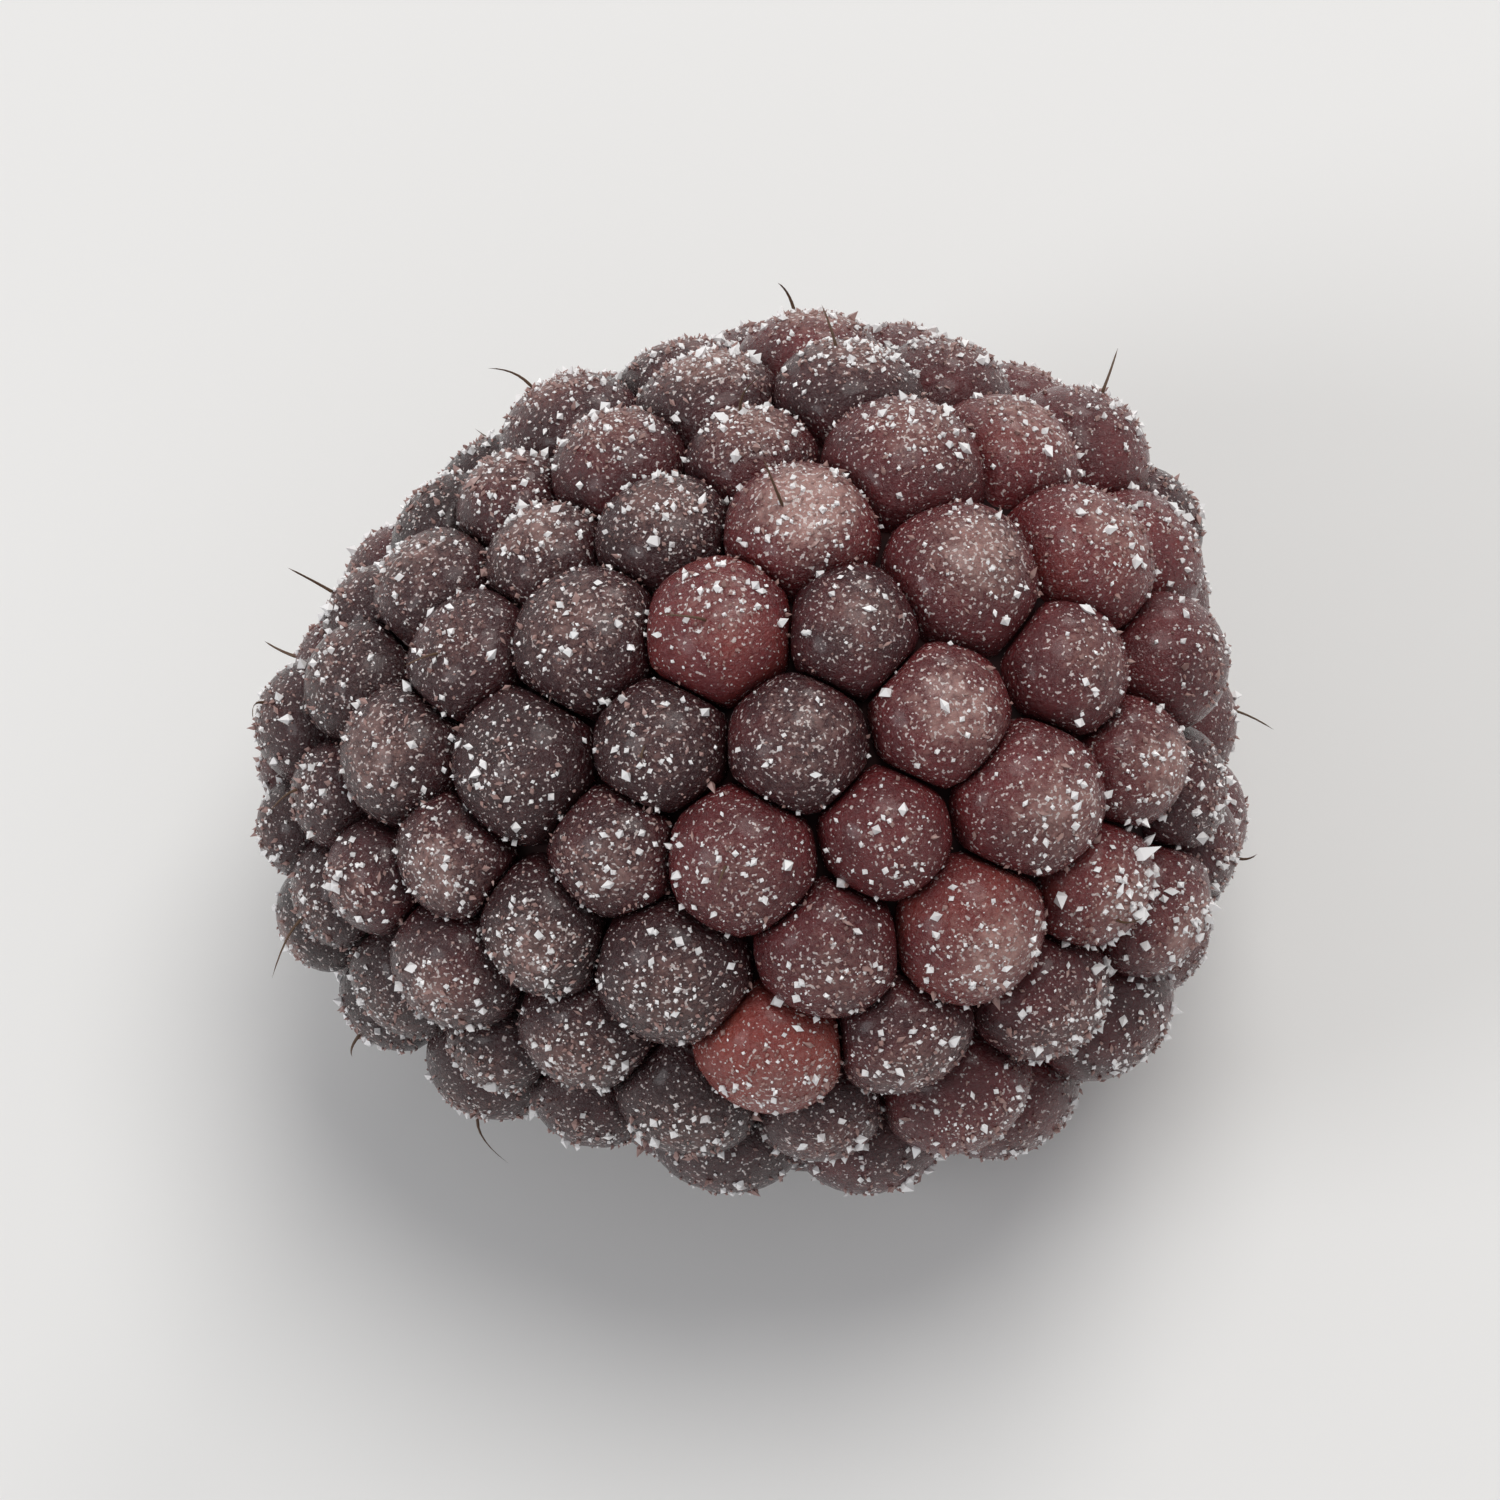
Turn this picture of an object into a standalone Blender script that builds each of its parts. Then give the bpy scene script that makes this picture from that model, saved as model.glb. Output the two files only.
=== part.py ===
"""A bramble berry as picked, lying on its side.

The berry is one body: a fleshy receptacle that tapers to a rounded tip, set all over with
round drupelets that press against each other, and bare only at the stem end, where it broke
from its stalk. Each drupelet is a sphere centred on the receptacle's surface, and crowded
drupelets have pushed each other apart. The berry lies on the drupelets that carry it, which
are pressed flat where they touch.

Units are metres, +Z is up, +X runs from the tip to the stem end, and the origin is on the
surface that the berry lies on, under the middle of its box.
"""
import itertools
import math

import bmesh
import bpy
import numpy as np
from mathutils import Matrix, Vector

# Receptacle: the surface that carries the drupelets' centres. Its own axis is +Z, stem end up.
BED_HALF_LENGTH = 0.0140      # along the axis, from the middle to the tip
BED_HALF_WIDTH = 0.0108       # across the axis
BED_TAPER = 0.15              # share by which the tip end is slimmer and the stem end fuller
BED_FLATNESS = 0.035           # share by which it is wider one way and narrower the other
BED_LUMPS = 0.018             # share by which three low lumps stand out round it
LUMP_COUNT = 3
LUMP_TWIST = 2.0              # radians by which the lumps wind from the middle to an end

# Drupelets
DRUPELET_COUNT = 136
DRUPELET_RADIUS = 0.00245
TIP_DRUPELET_SHARE = 0.72     # radius of a drupelet at the tip, against one at the middle
STEM_DRUPELET_SHARE = 0.88    # the same at the stem end
END_POWER = 2.0               # how late, towards the ends, drupelets become smaller
RADIUS_SPREAD = 0.10          # random share of the radius
HEIGHT_SPREAD = 0.00030       # random height of a drupelet over the receptacle's surface
BARE_ANGLE = math.radians(24)  # half angle of the cap at the stem end that has no drupelets
SEED = 11

# Spreading: drupelets push each other with a force that falls off steeply with distance
START_JITTER = 0.03
SPREADING_STEPS = 400
PUSH_SHARE = 0.01             # of a drupelet's radius, in one step at the reach
PUSH_REACH = 1.7              # distance between centres, in radii
PUSH_POWER = 8
PUSH_MOST = 12

# Stem scar: its profile's radii, and heights from the middle of the receptacle
SCAR_RADIUS = 0.0031
SCAR_HEIGHT = 0.0129
SCAR_RIM = 0.0004
SCAR_PIT_RADIUS = 0.0012
SCAR_PIT_DEPTH = 0.0008
SCAR_ROOT_RADIUS = 0.0050
SCAR_ROOT_HEIGHT = 0.0084
SCAR_FOOT_HEIGHT = 0.0066
SCAR_SEGMENTS = 24

# Flesh that fills the receptacle, a little fuller than the surface that carries the centres
FLESH_SHARE = 1.04
FLESH_TOP = 0.0120            # height at which its stem end is flat, which leaves the scar clear
FLESH_SEGMENTS = 24
FLESH_RINGS = 14

# Rest
ROLL_ANGLE = math.radians(-84)  # the side of the berry that looks for the surface
LOWEST_CONSIDERED = 18        # drupelets that may carry the berry
PRESSED_DEPTH = 0.00022       # by which a carrying drupelet is flattened
FLOOR_SIZE = 0.08

# Drupelet facets
SPHERE_SEGMENTS = 9
SPHERE_RINGS = 6

SKIN_COLOUR = (0.055, 0.012, 0.018, 1.0)
SKIN_ROUGHNESS = 0.42


def clear_scene():
    for obj in list(bpy.data.objects):
        bpy.data.objects.remove(obj, do_unlink=True)


def normalized(vectors):
    return vectors / np.linalg.norm(vectors, axis=-1, keepdims=True)


def bed_scale(unit):
    """How far the receptacle is drawn out, across and along, in each of these directions of a unit sphere.
    The result is an egg with low lumps that wind round it."""
    along = unit[..., 2]
    around = np.arctan2(unit[..., 1], unit[..., 0])
    side = 1 - along**2
    width = 1 + BED_TAPER * along + BED_FLATNESS * np.cos(2 * around) * side
    width += BED_LUMPS * np.cos(LUMP_COUNT * around + LUMP_TWIST * along) * side
    across = BED_HALF_WIDTH * width
    return np.stack([across, across, np.full_like(across, BED_HALF_LENGTH)], -1)


def radius_share(along):
    """Drupelet radius against one at the middle, where along is the cosine of the angle from the stem axis."""
    end_share = np.where(along < 0, TIP_DRUPELET_SHARE, STEM_DRUPELET_SHARE)
    return 1 - (1 - end_share) * np.abs(along) ** END_POWER


def first_directions(chance):
    """A winding row of directions, evenly spaced from the tip to the rim of the bare cap, and shaken."""
    step = (np.arange(DRUPELET_COUNT) + 0.5) / DRUPELET_COUNT
    along = -1 + step * (math.cos(BARE_ANGLE) + 1)
    across = np.sqrt(1 - along**2)
    around = np.arange(DRUPELET_COUNT) * math.pi * (3 - math.sqrt(5))
    row = np.stack([across * np.cos(around), across * np.sin(around), along], -1)
    return normalized(row + chance.normal(0, START_JITTER, row.shape))


def keep_off_scar(unit):
    """Moves directions that strayed on to the bare cap back to its rim."""
    most = math.cos(BARE_ANGLE)
    flat = unit[:, :2] / (np.linalg.norm(unit[:, :2], axis=1, keepdims=True) + 1e-9)
    rim = np.concatenate([flat * math.sqrt(1 - most**2), np.full((len(unit), 1), most)], 1)
    return np.where(unit[:, 2:] > most, rim, unit)


def pushed_apart(centres, radii):
    """The centres after one step in which each is pushed by the others."""
    apart = centres[:, None] - centres[None]
    distance = np.linalg.norm(apart, axis=-1) + 1e-9
    mean_radius = (radii[:, None] + radii[None]) / 2
    force = np.minimum((PUSH_REACH * mean_radius / distance) ** PUSH_POWER, PUSH_MOST)
    push = PUSH_SHARE * mean_radius * force * (1 - np.eye(len(centres)))
    return centres + (apart / distance[..., None] * push[..., None]).sum(1)


def grow_drupelets():
    """Centres and radii of the drupelets, in the receptacle's own frame."""
    chance = np.random.RandomState(SEED)
    directions = first_directions(chance)
    spread = 1 + RADIUS_SPREAD * chance.uniform(-1, 1, DRUPELET_COUNT)
    for _ in range(SPREADING_STEPS):
        scale = bed_scale(directions)
        radii = DRUPELET_RADIUS * radius_share(directions[:, 2]) * spread
        moved = pushed_apart(directions * scale, radii)
        directions = keep_off_scar(normalized(moved / scale))
    centres = directions * bed_scale(directions)
    height = HEIGHT_SPREAD * chance.uniform(-1, 1, DRUPELET_COUNT)
    return centres + normalized(centres) * height[:, None], radii


def over_triangle(point, corners, normal):
    """Whether the point, seen along the normal, is inside the triangle of the corners."""
    turns = [np.cross(corners[(i + 1) % 3] - corners[i], point - corners[i]) @ normal for i in range(3)]
    return min(turns) > 0 or max(turns) < 0


def touching_normals(c, r):
    """The two unit normals of planes that touch three spheres of centres c and radii r."""
    edges = c[1:] - c[0]
    across = np.linalg.lstsq(edges, r[0] - r[1:], rcond=None)[0]
    free = normalized(np.cross(edges[0], edges[1])) * math.sqrt(max(1 - across @ across, 0))
    return across + free, across - free


def carrying_plane(centres, radii, down):
    """Outward unit normal of the plane that the berry rests on, and its distance from the berry's middle. The
    plane touches three drupelets, has none beyond it, and its triangle is under the centre of mass. Of such
    planes it is the one that faces down best."""
    middle = np.average(centres, axis=0, weights=radii**3)
    lowest = np.argsort(-(centres @ down + radii))[:LOWEST_CONSIDERED]
    found = []
    for trio in itertools.combinations(lowest, 3):
        c, r = centres[list(trio)], radii[list(trio)]
        for normal in touching_normals(c, r):
            level = normal @ c[0] + r[0]
            clear = (centres @ normal + radii <= level + 1e-9).all()
            if clear and over_triangle(middle, c, normal):
                found.append((normal @ down, tuple(normal), level))
    _, normal, level = max(found)
    return np.array(normal), level


def resting_matrix(centres, radii):
    """The rigid move that lays the berry down: the carrying plane comes to z = 0, the tip points to -X, and
    the middle of the box is over the origin."""
    down = np.array([math.cos(ROLL_ANGLE), math.sin(ROLL_ANGLE), 0.0])
    normal, level = carrying_plane(centres, radii, down)
    up = Vector(-normal)
    stem_way = Vector((0, 0, 1)) - up * up.z
    stem_way.normalize()
    turn = Matrix((stem_way, up.cross(stem_way), up))
    laid = centres @ np.array(turn).T
    low, high = (laid - radii[:, None]).min(0), (laid + radii[:, None]).max(0)
    middle = (low + high) / 2
    return Matrix.Translation((-middle[0], -middle[1], level - PRESSED_DEPTH)) @ turn.to_4x4()


def add_drupelet(bm, centre, radius):
    """A sphere with its pole facing out of the berry."""
    facing = Vector(centre).to_track_quat("Z", "Y").to_matrix().to_4x4()
    place = Matrix.Translation(Vector(centre)) @ facing
    bmesh.ops.create_uvsphere(
        bm, u_segments=SPHERE_SEGMENTS, v_segments=SPHERE_RINGS, radius=radius, matrix=place
    )


def add_flesh(bm):
    """A sphere drawn out to the receptacle, with a flat stem end."""
    made = bmesh.ops.create_uvsphere(bm, u_segments=FLESH_SEGMENTS, v_segments=FLESH_RINGS, radius=1.0)
    unit = normalized(np.array([vert.co for vert in made["verts"]]))
    points = unit * bed_scale(unit) * FLESH_SHARE
    points[:, 2] = np.minimum(points[:, 2], FLESH_TOP)
    for vert, point in zip(made["verts"], points):
        vert.co = point


def add_scar(bm):
    """The stem scar: a turned plug that stands out of the bare cap, with a pit in its face."""
    profile = [
        (0.0, SCAR_HEIGHT - SCAR_PIT_DEPTH),
        (SCAR_PIT_RADIUS - SCAR_RIM, SCAR_HEIGHT - SCAR_PIT_DEPTH),
        (SCAR_PIT_RADIUS, SCAR_HEIGHT),
        (SCAR_RADIUS - SCAR_RIM, SCAR_HEIGHT),
        (SCAR_RADIUS, SCAR_HEIGHT - SCAR_RIM),
        (SCAR_ROOT_RADIUS, SCAR_ROOT_HEIGHT),
        (0.0, SCAR_FOOT_HEIGHT),
    ]
    verts = [bm.verts.new((radius, 0, height)) for radius, height in profile]
    edges = [bm.edges.new(pair) for pair in zip(verts, verts[1:])]
    bmesh.ops.spin(
        bm,
        geom=verts + edges,
        cent=(0, 0, 0),
        axis=(0, 0, 1),
        angle=2 * math.pi,
        steps=SCAR_SEGMENTS,
        use_merge=True,
    )
    bmesh.ops.remove_doubles(bm, verts=bm.verts, dist=1e-7)


def add_floor(bm):
    """A block whose top face is the surface that the berry lies on."""
    made = bmesh.ops.create_cube(bm, size=FLOOR_SIZE)
    bmesh.ops.translate(bm, verts=made["verts"], vec=(0, 0, -FLOOR_SIZE / 2))


def mesh_object(name, fill, smooth=True):
    """An object whose mesh is made by fill(bm), with its faces turned outwards."""
    bm = bmesh.new()
    fill(bm)
    bmesh.ops.recalc_face_normals(bm, faces=bm.faces)
    for face in bm.faces:
        face.smooth = smooth
    mesh = bpy.data.meshes.new(name)
    bm.to_mesh(mesh)
    bm.free()
    obj = bpy.data.objects.new(name, mesh)
    bpy.context.scene.collection.objects.link(obj)
    return obj


def helper_object(name, fill, smooth=True):
    """A mesh object that only takes part in a Boolean."""
    obj = mesh_object(name, fill, smooth)
    obj.hide_render = True
    obj.display_type = "WIRE"
    return obj


def skin_material():
    material = bpy.data.materials.new("berry_skin")
    material.use_nodes = True
    shader = material.node_tree.nodes["Principled BSDF"]
    shader.inputs["Base Color"].default_value = SKIN_COLOUR
    shader.inputs["Roughness"].default_value = SKIN_ROUGHNESS
    return material


def add_boolean(obj, operation, other, joins_own_pieces=False):
    modifier = obj.modifiers.new(other.name, "BOOLEAN")
    modifier.operation = operation
    modifier.object = other
    modifier.solver = "EXACT"
    modifier.use_self = joins_own_pieces


def main():
    clear_scene()
    centres, radii = grow_drupelets()

    def add_drupelets(bm):
        for centre, radius in zip(centres, radii):
            add_drupelet(bm, centre, radius)

    berry = mesh_object("berry", add_drupelets)
    berry.data.materials.append(skin_material())
    flesh = helper_object("flesh", add_flesh)
    scar = helper_object("stem_scar", add_scar)
    lie = resting_matrix(centres, radii)
    for obj in (berry, flesh, scar):
        obj.matrix_world = lie
    add_boolean(berry, "UNION", flesh, joins_own_pieces=True)
    add_boolean(berry, "UNION", scar)
    add_boolean(berry, "DIFFERENCE", helper_object("floor", add_floor, smooth=False))


main()
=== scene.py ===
"""A frozen bramble berry on a pale surface.

The berry is grown again here as the frame's solid is grown: drupelets pushed apart over an egg-shaped
receptacle, then laid down on the three that carry it. Each drupelet becomes a taut sac that gives way to its
neighbours, and over them come the torn stem scar, a few dry styles and the frost.

Lengths are metres, +X runs from the tip to the stem end and +Z is up.
"""
import itertools
import math

import bpy
import numpy as np
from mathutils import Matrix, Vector


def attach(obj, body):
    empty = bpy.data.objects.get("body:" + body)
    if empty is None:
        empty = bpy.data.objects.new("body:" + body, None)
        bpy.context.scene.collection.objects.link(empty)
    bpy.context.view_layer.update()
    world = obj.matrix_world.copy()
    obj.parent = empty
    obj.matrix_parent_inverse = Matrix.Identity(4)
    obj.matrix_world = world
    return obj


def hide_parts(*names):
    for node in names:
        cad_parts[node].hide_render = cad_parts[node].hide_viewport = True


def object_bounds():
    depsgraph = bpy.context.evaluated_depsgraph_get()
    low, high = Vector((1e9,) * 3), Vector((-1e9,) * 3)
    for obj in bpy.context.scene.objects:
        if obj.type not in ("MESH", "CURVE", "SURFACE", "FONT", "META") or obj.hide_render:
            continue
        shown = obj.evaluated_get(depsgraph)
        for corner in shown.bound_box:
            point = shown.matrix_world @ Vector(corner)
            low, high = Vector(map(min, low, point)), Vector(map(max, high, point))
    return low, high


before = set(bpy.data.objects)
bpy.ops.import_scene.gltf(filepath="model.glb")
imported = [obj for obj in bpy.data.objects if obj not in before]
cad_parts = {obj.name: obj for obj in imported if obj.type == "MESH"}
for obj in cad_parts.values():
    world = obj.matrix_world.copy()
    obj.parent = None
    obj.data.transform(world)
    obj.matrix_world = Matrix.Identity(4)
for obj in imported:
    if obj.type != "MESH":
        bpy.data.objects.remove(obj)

CAD_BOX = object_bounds()

# The receptacle and its drupelets, with the sizes of the frame's solid
BED_HALF_LENGTH = 0.0140
BED_HALF_WIDTH = 0.0108
BED_TAPER = 0.15
BED_FLATNESS = 0.035
BED_LUMPS = 0.018
LUMP_COUNT = 3
LUMP_TWIST = 2.0
DRUPELET_COUNT = 136
DRUPELET_RADIUS = 0.00245
TIP_DRUPELET_SHARE = 0.72
STEM_DRUPELET_SHARE = 0.88
END_POWER = 2.0
RADIUS_SPREAD = 0.10
HEIGHT_SPREAD = 0.00030
BARE_ANGLE = math.radians(24)
SEED = 11
START_JITTER = 0.03
SPREADING_STEPS = 400
PUSH_SHARE = 0.01
PUSH_REACH = 1.7
PUSH_POWER = 8
PUSH_MOST = 12
ROLL_ANGLE = math.radians(-84)
LOWEST_CONSIDERED = 18
PRESSED_DEPTH = 0.00022
SCAR_RADIUS = 0.0031
SCAR_HEIGHT = 0.0129

# Camera
VIEW_AZIMUTH = math.radians(-8)
VIEW_ELEVATION = math.radians(70)
LENS_MM = 200.0
SENSOR_MM = 36.0
FRAME_WIDTH = 0.047           # of the surface that the picture's width takes in

# Sacs
SAC_SEGMENTS = 32
SAC_RINGS = 22
RING_POWER = 1.25             # above 1 the rings crowd towards the crown
SWELLING = 1.045              # of a sac beyond the frame's drupelet, as frozen juice swells
GIVING_POWER = 17             # how suddenly a sac turns from its own roundness to its neighbour's side
SLIT_SHARE = 0.010            # of the way to a neighbour, left open between them
CREASE_SHADE_GAIN = 4               # how soon a sac's loss of reach counts as a crease, darkened on the skin as painted shade
MAP_SQUARES = 12              # sacs along each side of the map of their skins
MAP_BUNCHING = 0.6            # how strongly the map favours the crowns
MAP_REACH, MAP_RIM = 0.475, 0.49  # of a square, from its middle: the last ring, and the inner pole drawn out
NEAREST_PLANE = 0.3           # of the radius, from a sac's centre
NO_PLANE = 1.0                # so far away that it takes nothing off

# Each sac's own character
STYLE_LEAN = 0.28             # of the style's place from straight out, towards the tip
STYLE_SCATTER = 0.6
WAVES_EACH = 4                # low waves across the skin
WAVE_TURN = 2.6               # radians in one radius
WAVE_HEIGHT = 0.011           # of the radius
SWELL_SPREAD = 0.05
DISH_DEPTH = 0.035            # of the radius, where the style sat
DISH_WIDTH = 0.30             # radians
NUB_WIDTH = 0.11
RIPENESS = 0.34               # 0 is black, 0.6 red, and 1 tan
RIPENESS_TILT = 0.12          # redder towards the stem end and darker towards the tip
TILT_PLACE, TILT_LENGTH = 0.001, 0.005
RIPENESS_SPREAD = 0.07
RIPENESS_LIMITS = (0.1, 0.7)

# Receptacle
RECEPTACLE_SHARE = 1.03       # of the surface that carries the centres
RECEPTACLE_TOP = 0.0118
RECEPTACLE_RINGS, RECEPTACLE_SEGMENTS = 40, 48

# Stem scar. Places and widths on its face are shares of the way out from its middle.
SCAR_RINGS, SCAR_SEGMENTS = 56, 96
SCAR_FACE_SHARE = 0.72        # of the scar's skin, from its middle out, that shows
SCAR_OUTLINE = 1.04           # of the scar's radius, before the ragged waves
SCAR_RAGGED = [(0.05, 3, 1), (0.04, 7, 0), (0.025, 16, 2)]  # share of the radius, waves round, and phase
RIM_HEIGHT, RIM_PLACE, RIM_WIDTH = 0.00030, 0.76, 0.14
PIT_DEPTH, PIT_WIDTH = 0.0008, 0.27
EDGE_DROP, EDGE_POWER = 0.0009, 8
SCAR_WAVES = [(0.00013, 4, 6), (0.00008, 13, -9)]  # height, waves round, and radians turned on the way out
ROOT_DEPTH = 0.004
VEIN_COUNT = 9
VEIN_DEPTH, VEIN_PLACE, VEIN_WIDTH = 0.00030, 0.54, 0.09
VEIN_STAIN, STAIN_WIDTH = 0.30, 0.11

# Dry styles
STYLE_COUNT = 26
STYLE_RADIUS = 0.000065
STYLE_LENGTHS = (0.0008, 0.0018)
STYLE_SUNK = 0.00015
STYLE_LOWEST = 0.006          # none starts lower than this
STYLE_FOOT = 0.8              # of the radius, at which that height is taken
STYLE_LEAN_SPREAD = 0.5
STYLE_RINGS, STYLE_SEGMENTS = 7, 5
STYLE_TAPER = 0.65
STYLE_BENDS = (0.3, 1.1)      # of the length

# Frost
FROST_COSINES = (0.45, 0.98)  # of the angle from straight out: no frost at the first, all at the second
# Above 1 the frost thins faster towards a sac's sides; on the skin this is also painted light on the crowns
# and painted shade on the sides.
FROST_POWER = 1.8
FROST_FROM_BELOW = 0.35       # on what faces down, against what faces up
PATCH_SIZE = 0.0042
PATCH_MIDDLE, PATCH_SWING = 0.75, 0.18
OPEN_COSINE = 0.42            # of the angle within which a sac's skin takes crystals
LOWEST_CRYSTAL = 0.0004
KEPT_ANYWHERE = 0.14          # share of the crystals tried that stay where no frost lies
KEPT_IN_FROST = 1.15
KEPT_POWER = 1.3
RUBBED_OFF = 0.85
CRYSTAL_SHAKE = 0.9
CRYSTAL_PROUD = 0.35          # of its half width, by which a crystal's middle is over the skin
LEAST_TALLNESS = 0.5
SURFACE_GAP = 0.00001
ROWS_AT_ONCE = 500            # worked out together, to save memory

# Drupelets on the upper side that coloured late: where, and how red (1 is tan)
LATE_DRUPELETS = [
    (-0.0009, 0.0006, 0.57),
    (0.0050, -0.0090, 0.60),
    (0.0090, -0.0080, 0.57),
    (0.0073, 0.0030, 0.54),
    (0.0051, -0.0057, 0.50),
    (0.0066, -0.0025, 0.48),
    (0.0003, -0.0071, 0.47),
    (-0.0013, -0.0098, 0.72),
]
RUBBED_PLACE = (0.0045, -0.0025)  # on the upper side, where the frost was rubbed thin
RUBBED_SIZE = (0.0065, 0.0055)
DRIFT_PLACE = (0.0109, -0.0085, 0.0177)  # where coarse frost has gathered
DRIFT_SIZE = 0.0030

# Layers of crystals: piece, kind of ice, how many are tried, their half width and how it spreads, the
# greatest height against it, the seed, and whether they gather in the drift
FROST_LAYERS = [
    ("frost_fur", "stained", 32000, 0.000050, 0.35, 3.0, SEED + 5, False),
    ("frost_grains", "clear", 21000, 0.000046, 0.45, 1.6, SEED + 2, False),
    ("frost_crystals", "clear", 12000, 0.000096, 0.34, 2.0, SEED + 3, False),
    ("frost_drift", "clear", 9000, 0.000125, 0.35, 2.4, SEED + 6, True),
]
SCAR_FROST = (0.000048, 0.45, 2.0)  # half width and how it spreads, and the greatest height against it
SCAR_CRYSTALS = 420

# Floor, and lights: name, place, size, power and colour
FLOOR_RADIUS, FLOOR_SEGMENTS = 3.0, 96
LIGHTS = [
    ("overhead", (0.10, 0.16, 0.55), 0.34, 1.68, (1.0, 0.98, 0.95)),
    ("window", (-0.42, -0.10, 0.34), 0.22, 0.72, (0.97, 0.98, 1.0)),
    ("behind", (0.20, 0.45, 0.22), 0.16, 0.55, (1.0, 0.97, 0.94)),
]
LIT_HEIGHT = 0.012            # of the point that the lights are aimed at
SKY_COLOUR = (0.97, 0.97, 1.0, 1)
SKY_STRENGTH = 0.42


# ---------------------------------------------------------------- growing the berry


def normalized(vectors):
    return vectors / np.linalg.norm(vectors, axis=-1, keepdims=True)


def cosines(ways, axes):
    """Cosines between rows of directions and each row's axis."""
    return np.einsum("nmk,nk->nm", ways, axes)


def bed_scale(unit):
    """How far the receptacle is drawn out, across and along, in each of these directions of a unit sphere:
    half width times (1 + taper * z + flatness * cos 2a * (1 - z^2) + lumps * cos(3a + twist * z) * (1 - z^2))
    across, and half length along, where a is the angle round the axis."""
    along = unit[..., 2]
    around = np.arctan2(unit[..., 1], unit[..., 0])
    side = 1 - along**2
    width = 1 + BED_TAPER * along + BED_FLATNESS * np.cos(2 * around) * side
    width += BED_LUMPS * np.cos(LUMP_COUNT * around + LUMP_TWIST * along) * side
    across = BED_HALF_WIDTH * width
    return np.stack([across, across, np.full_like(across, BED_HALF_LENGTH)], -1)


def radius_share(along):
    """Drupelet radius against one at the middle: 1 less the end's loss times |z| to the end power."""
    end_share = np.where(along < 0, TIP_DRUPELET_SHARE, STEM_DRUPELET_SHARE)
    return 1 - (1 - end_share) * np.abs(along) ** END_POWER


def first_directions(chance):
    """A row of directions wound round the axis by the golden angle, at even steps of z, and shaken."""
    step = (np.arange(DRUPELET_COUNT) + 0.5) / DRUPELET_COUNT
    along = -1 + step * (math.cos(BARE_ANGLE) + 1)
    across = np.sqrt(1 - along**2)
    around = np.arange(DRUPELET_COUNT) * math.pi * (3 - math.sqrt(5))
    row = np.stack([across * np.cos(around), across * np.sin(around), along], -1)
    return normalized(row + chance.normal(0, START_JITTER, row.shape))


def keep_off_scar(unit):
    """Moves directions that strayed on to the bare cap back to its rim."""
    most = math.cos(BARE_ANGLE)
    flat = unit[:, :2] / (np.linalg.norm(unit[:, :2], axis=1, keepdims=True) + 1e-9)
    rim = np.concatenate([flat * math.sqrt(1 - most**2), np.full((len(unit), 1), most)], 1)
    return np.where(unit[:, 2:] > most, rim, unit)


def pushed_apart(centres, radii):
    """The centres after one step in which each is pushed by the others, by a share of the mean radius times
    (reach / distance) to the push power."""
    apart = centres[:, None] - centres[None]
    distance = np.linalg.norm(apart, axis=-1) + 1e-9
    mean_radius = (radii[:, None] + radii[None]) / 2
    force = np.minimum((PUSH_REACH * mean_radius / distance) ** PUSH_POWER, PUSH_MOST)
    push = PUSH_SHARE * mean_radius * force * (1 - np.eye(len(centres)))
    return centres + (apart / distance[..., None] * push[..., None]).sum(1)


def grow_drupelets():
    """Centres, radii and outward directions of the drupelets, in the receptacle's own frame."""
    chance = np.random.RandomState(SEED)
    directions = first_directions(chance)
    spread = 1 + RADIUS_SPREAD * chance.uniform(-1, 1, DRUPELET_COUNT)
    for _ in range(SPREADING_STEPS):
        scale = bed_scale(directions)
        radii = DRUPELET_RADIUS * radius_share(directions[:, 2]) * spread
        moved = pushed_apart(directions * scale, radii)
        directions = keep_off_scar(normalized(moved / scale))
    scale = bed_scale(directions)
    centres = directions * scale
    height = HEIGHT_SPREAD * chance.uniform(-1, 1, DRUPELET_COUNT)
    return centres + normalized(centres) * height[:, None], radii, normalized(directions / scale)


def over_triangle(point, corners, normal):
    """Whether the point, seen along the normal, is inside the triangle of the corners."""
    turns = [np.cross(corners[(i + 1) % 3] - corners[i], point - corners[i]) @ normal for i in range(3)]
    return min(turns) > 0 or max(turns) < 0


def touching_normals(c, r):
    """The two unit normals of planes that touch three spheres of centres c and radii r."""
    edges = c[1:] - c[0]
    across = np.linalg.lstsq(edges, r[0] - r[1:], rcond=None)[0]
    free = normalized(np.cross(edges[0], edges[1])) * math.sqrt(max(1 - across @ across, 0))
    return across + free, across - free


def carrying_plane(centres, radii, down):
    """Outward unit normal of the plane that the berry rests on, and its distance from the berry's middle."""
    middle = np.average(centres, axis=0, weights=radii**3)
    lowest = np.argsort(-(centres @ down + radii))[:LOWEST_CONSIDERED]
    found = []
    for trio in itertools.combinations(lowest, 3):
        c, r = centres[list(trio)], radii[list(trio)]
        for normal in touching_normals(c, r):
            level = normal @ c[0] + r[0]
            clear = (centres @ normal + radii <= level + 1e-9).all()
            if clear and over_triangle(middle, c, normal):
                found.append((normal @ down, tuple(normal), level))
    _, normal, level = max(found)
    return np.array(normal), level


def resting_move(centres, radii):
    """The turn (three rows) and the shift that lay the berry down: the carrying plane comes to z = 0, the tip
    points to -X, and the middle of the box is over the origin."""
    down = np.array([math.cos(ROLL_ANGLE), math.sin(ROLL_ANGLE), 0.0])
    normal, level = carrying_plane(centres, radii, down)
    up = -normal
    stem_way = normalized(np.array([0.0, 0.0, 1.0]) - up * up[2])
    turn = np.stack([stem_way, np.cross(up, stem_way), up])
    laid = centres @ turn.T
    middle = ((laid - radii[:, None]).min(0) + (laid + radii[:, None]).max(0)) / 2
    return turn, np.array([-middle[0], -middle[1], level - PRESSED_DEPTH])


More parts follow.
